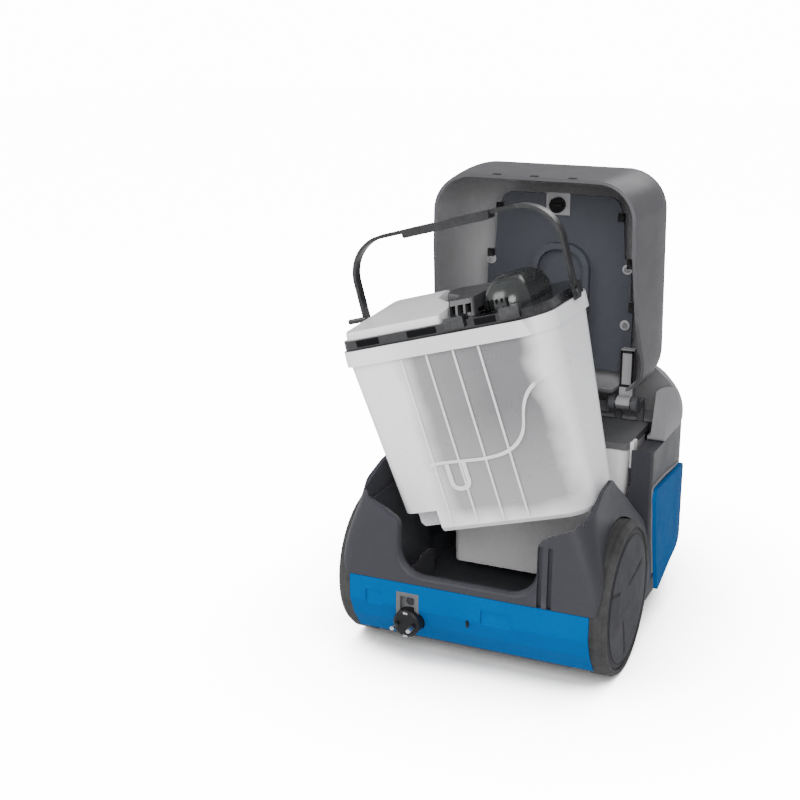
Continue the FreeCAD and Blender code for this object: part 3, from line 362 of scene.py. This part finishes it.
def slab_piece(name, low, high, look, body, soft=0.5, motion=None):
    """A block between two corners in millimetres, with rounded edges."""
    form = bmesh.new()
    bmesh.ops.create_cube(form, size=1.0)
    for vert in form.verts:
        vert.co = Vector((a + b) / 2 + (b - a) * k for a, b, k in zip(low, high, vert.co)) * MM
    reach = min(soft, 0.3 * min(b - a for a, b in zip(low, high))) * MM
    bmesh.ops.bevel(form, geom=form.edges[:], offset=reach, segments=3, affect="EDGES", profile=0.5)
    keep_piece(name, form, look, body, motion)


def rod_piece(name, start, along, radius, length, look, body, soft=0.4, motion=None):
    """A round piece from its start along an axis, in millimetres."""
    form = bmesh.new()
    bmesh.ops.create_cone(form, cap_ends=True, segments=40, radius1=radius * MM, radius2=radius * MM,
                          depth=length * MM)
    rims = [edge for edge in form.edges if abs(edge.verts[0].co.z - edge.verts[1].co.z) < 1e-7]
    bmesh.ops.bevel(form, geom=rims, offset=soft * MM, segments=2, affect="EDGES", profile=0.5)
    aim = Vector(along)
    spin = aim.to_track_quat("Z", "Y").to_matrix().to_4x4()
    middle = Matrix.Translation((Vector(start) + aim * length / 2) * MM)
    bmesh.ops.transform(form, verts=form.verts, matrix=middle @ spin)
    keep_piece(name, form, look, body, motion)


def surface_point(thing, start, aim):
    """Where a ray in the row frame meets an object, with the surface's normal there."""
    back = thing.matrix_world.inverted()
    ray = (back.to_3x3() @ Vector(aim)).normalized()
    hit, at, normal, _ = thing.ray_cast(back @ Vector(start), ray)
    if not hit:
        raise RuntimeError("no surface of " + thing.name + " at " + str(start))
    return thing.matrix_world @ at, (thing.matrix_world.to_3x3() @ normal).normalized()


STRIP_STEP = 0.003
RAY_RUN_UP = 0.3


def strip_piece(name, node, aim, path, width, look, body, lift, closed=False):
    """A thin strip laid on a node's surface along a path in millimetres, seen along an aim."""
    thing = frame["nodes"][node]
    points = [Vector(point) * MM for point in path]
    if closed:
        points.append(points[0])
    line = []
    for a, b in zip(points, points[1:]):
        count = max(2, round((b - a).length / STRIP_STEP))
        line += [a.lerp(b, i / count) for i in range(count)]
    line.append(points[-1])
    aim = Vector(aim)
    form = bmesh.new()
    rows = []
    for i, point in enumerate(line):
        way = (line[min(i + 1, len(line) - 1)] - line[max(i - 1, 0)]).normalized()
        across = way.cross(aim).normalized() * width * MM / 2
        row = []
        for side in (1, -1):
            at, normal = surface_point(thing, point + across * side - aim * RAY_RUN_UP, aim)
            if normal.dot(aim) > 0:
                normal = -normal
            row += [at - normal * lift * MM, at + normal * lift * MM]
        rows.append([form.verts.new(row[k]) for k in (0, 1, 3, 2)])
    for low, high in zip(rows, rows[1:]):
        for k in range(4):
            form.faces.new((low[k], low[(k + 1) % 4], high[(k + 1) % 4], high[k]))
    form.faces.new(rows[0])
    form.faces.new(rows[-1])
    keep_piece(name, form, look, body)


SIDES = ((1, "right"), (-1, "left"))
OUTSIDE = 170
AXLE_HIGH = 85


def wheel_details():
    """Three slots and a ring groove in each wheel cap, drawn as thin black strips laid on the cap: painted
    shade for the dark inside them.
    """
    slots = (((-6, 105), (46, 113)), ((-24, 69), (-8, 25)), ((-40, 107), (-62, 112)))
    ring_radius, ring_points = 71, 96
    turns = [math.tau * k / ring_points for k in range(ring_points)]
    circle = [(ring_radius * math.cos(turn), AXLE_HIGH + ring_radius * math.sin(turn)) for turn in turns]
    # Painted shade: each slot and the ring groove is a black strip lifted just off the cap, not a recess.
    for side, name in SIDES:
        node, body = name + "_wheel_cap", name + "_wheel"
        for i, slot in enumerate(slots):
            path = [(OUTSIDE * side, y, z) for y, z in slot]
            strip_piece(f"{name}_cap_slot_shade_{i}", node, (-side, 0, 0), path, 3.4, "black_plastic", body, 0.35)
        ring = [(OUTSIDE * side, y, z) for y, z in circle]
        strip_piece(name + "_cap_ring_shade", node, (-side, 0, 0), ring, 1.8, "black_plastic", body, 0.25, True)


def casing_details():
    """The light trim beside each side panel, and the small slot in the rear bumper, a black slab that is
    painted shade for the dark inside the slot.
    """
    route = [(117.5, 68), (106.2, 111), (99.4, 150), (98.8, 175), (101, 178.6), (150, 177.6), (222, 171)]
    for side, name in SIDES:
        path = [(OUTSIDE * side, y, z) for y, z in route]
        strip_piece(name + "_panel_trim", "housing", (-side, 0, 0), path, 3.0, "hood_plastic", "machine", 1.0)
    # Painted shade: a black slab set into the bumper's slot for the dark inside it.
    slab_piece("bumper_slot_shade", (1.6, -88.75, 59), (4.4, -86.5, 67), "black_plastic", "machine", 0.3)


LINER_FACE = 193.4


def lid_details():
    """The liner's tabs, the knob's plate, the screw rings, the small notches and the hinge frames."""
    tabs = ((-74, 469, 9), (-84, 413, 9), (75, 465, 9), (88, 412, 11), (92, 361, 11))
    for i, (x, z, tall) in enumerate(tabs):
        low, high = (x - 4, LINER_FACE - 5, z - tall / 2), (x + 4, LINER_FACE, z + tall / 2)
        slab_piece(f"liner_tab_{i}", low, high, "black_plastic", "lid")
    slab_piece("knob_plate", (-17, LINER_FACE - 0.75, 463), (12, LINER_FACE, 489), "lid_plastic", "lid", 0.2)
    for i, (x, z) in enumerate(((84, 339), (-84, 339), (84, 405), (-84, 405))):
        rod_piece(f"screw_ring_{i}", (x, LINER_FACE, z), (0, -1, 0), 6, 1.6, "lid_plastic", "lid")
    for i, x in enumerate((-44, 0, 44)):
        at, _ = surface_point(frame["nodes"]["lid_shell"], (x * MM, 0.1, 0.6), (0, 0, -1))
        low, high = (x - 5, 97, at.z / MM - 4), (x + 5, 104, at.z / MM + 0.35)
        slab_piece(f"lid_notch_{i}", low, high, "black_plastic", "lid", 0.3)
    bars = (((0, 268), (16, 271)), ((0, 309), (16, 312)), ((0, 268), (2.4, 312)), ((13.6, 268), (16, 312)))
    for i, x in enumerate((84, -100)):
        for j, (low, high) in enumerate(bars):
            near, far = (x + low[0], 179.6, low[1]), (x + high[0], 181.4, high[1])
            slab_piece(f"hinge_frame_{i}_{j}", near, far, "black_plastic", "lid")


def tank_details():
    """The dark facings of the tank's frame, the two ribbed catches and the caps of the handle's pivots."""
    for i, (low, high) in enumerate(((-97, -70), (-36, -2), (42, 66))):
        near, far = (low, -72.6, 248), (high, -71, 255)
        slab_piece(f"frame_facing_{i}", near, far, "black_plastic", "tank", 0.4, TANK_SEAT)
    ribs, pitch = 5, 5.6
    for i, (x, y) in enumerate(((8, -26), (48, -30))):
        near, far = (x, y - 20, 256.4), (x + 30, y - 2, 262)
        slab_piece(f"catch_{i}", near, far, "black_plastic", "tank", 1.2, TANK_SEAT)
        for j in range(ribs):
            near, far = (x + 2 + pitch * j, y - 22, 257), (x + 5 + pitch * j, y - 1, 267.5)
            slab_piece(f"catch_{i}_rib_{j}", near, far, "black_plastic", "tank", 0.8, TANK_SEAT)
    for i, side in enumerate((1, -1)):
        start, along = (126 * side, 15, 251), (side, 0, 0)
        rod_piece(f"pivot_cap_{i}", start, along, 6.5, 2.2, "handle_plastic", "bail", 0.6, TANK_SEAT)


def plug_details():
    """The metal sleeves of the plug's pins and its two earth clips."""
    for i, x in enumerate((-75.5, -56.5)):
        rod_piece(f"pin_sleeve_{i}", (x, -100, 52), (0, -1, 0), 2.5, 11.2, "steel", "machine", 0.5)
    for i, z in enumerate((64.2, 37.6)):
        slab_piece(f"earth_clip_{i}", (-68.5, -97.2, z), (-63.5, -92, z + 2.2), "steel", "machine", 0.3)


wheel_details()
casing_details()
lid_details()
tank_details()
plug_details()

# ---------------------------------------------------------------- floor, lights and camera


FLOOR_CORNERS = ((-6, -6), (6, -6), (6, 8), (-6, 8))
FLOOR_GLOW = 14.0
WORLD_LIGHT = 0.6
WORLD_SEEN = 15.0


def make_floor():
    """A flat pale floor that looks near white to the camera, with a painted shadow close under the machine,
    where ambient occlusion dims its glow.
    """
    mesh = bpy.data.meshes.new("floor")
    form = bmesh.new()
    form.faces.new([form.verts.new((x, y, 0)) for x, y in FLOOR_CORNERS])
    form.to_mesh(mesh)
    form.free()
    floor = bpy.data.objects.new("floor", mesh)
    n = Nodes("floor_pale")
    base = n.ramp(n.noise(1.5), [(0.3, (0.86, 0.86, 0.86)), (0.7, (0.9, 0.9, 0.9))])
    n.link(base, n.shader.inputs["Base Color"])
    n.shader.inputs["Roughness"].default_value = 0.6
    # Painted shadow: ambient occlusion dims the floor's glow close under the machine.
    shade = n.add("ShaderNodeAmbientOcclusion", Distance=0.22)
    seen = n.add("ShaderNodeLightPath").outputs["Is Camera Ray"]
    glow = n.times(seen, n.span(shade.outputs["AO"], 0.0, FLOOR_GLOW, 0.3, 1.0))
    n.shader.inputs["Emission Color"].default_value = (1, 1, 1, 1)
    n.link(glow, n.shader.inputs["Emission Strength"])
    mesh.materials.append(n.material)
    bpy.context.scene.collection.objects.link(floor)


def make_world():
    """A dim even light from all round, which looks near white where the camera sees it."""
    world = bpy.data.worlds.new("studio")
    bpy.context.scene.world = world
    world.use_nodes = True
    tree = world.node_tree
    background = tree.nodes["Background"]
    background.inputs["Color"].default_value = (0.97, 0.98, 1.0, 1.0)
    seen = tree.nodes.new("ShaderNodeLightPath")
    power = tree.nodes.new("ShaderNodeMapRange")
    power.inputs["To Min"].default_value = WORLD_LIGHT
    power.inputs["To Max"].default_value = WORLD_SEEN
    tree.links.new(seen.outputs["Is Camera Ray"], power.inputs["Value"])
    tree.links.new(power.outputs["Result"], background.inputs["Strength"])


def soft_light(name, at, target, size, power):
    """A round area lamp at a place, turned to a target."""
    light = bpy.data.lights.new(name, "AREA")
    light.shape = "DISK"
    light.size = size
    light.energy = power
    lamp = bpy.data.objects.new(name, light)
    lamp.location = at
    lamp.rotation_euler = (Vector(target) - Vector(at)).to_track_quat("-Z", "Y").to_euler()
    bpy.context.scene.collection.objects.link(lamp)


CAMERA_AT = (0.50469, -1.34951, 0.71678)
CAMERA_TURN = 24.724
CAMERA_DOWN = 16.560
LENS = 62.33


def make_camera():
    """The camera behind the machine and to its right, looking down a little."""
    camera = bpy.data.objects.new("camera", bpy.data.cameras.new("camera"))
    camera.data.lens = LENS
    camera.data.sensor_width = 36.0
    camera.location = CAMERA_AT
    camera.rotation_euler = (math.radians(90 - CAMERA_DOWN), 0, math.radians(CAMERA_TURN))
    bpy.context.scene.collection.objects.link(camera)
    bpy.context.scene.camera = camera


MIDDLE = (0, 0.1, 0.25)

make_floor()
make_world()
soft_light("key", (1.1, -2.6, 1.7), MIDDLE, 2.0, 95)
soft_light("fill", (-2.0, -1.8, 2.0), MIDDLE, 2.0, 62)
soft_light("rim", (0.4, 2.4, 2.0), MIDDLE, 1.6, 26)
make_camera()
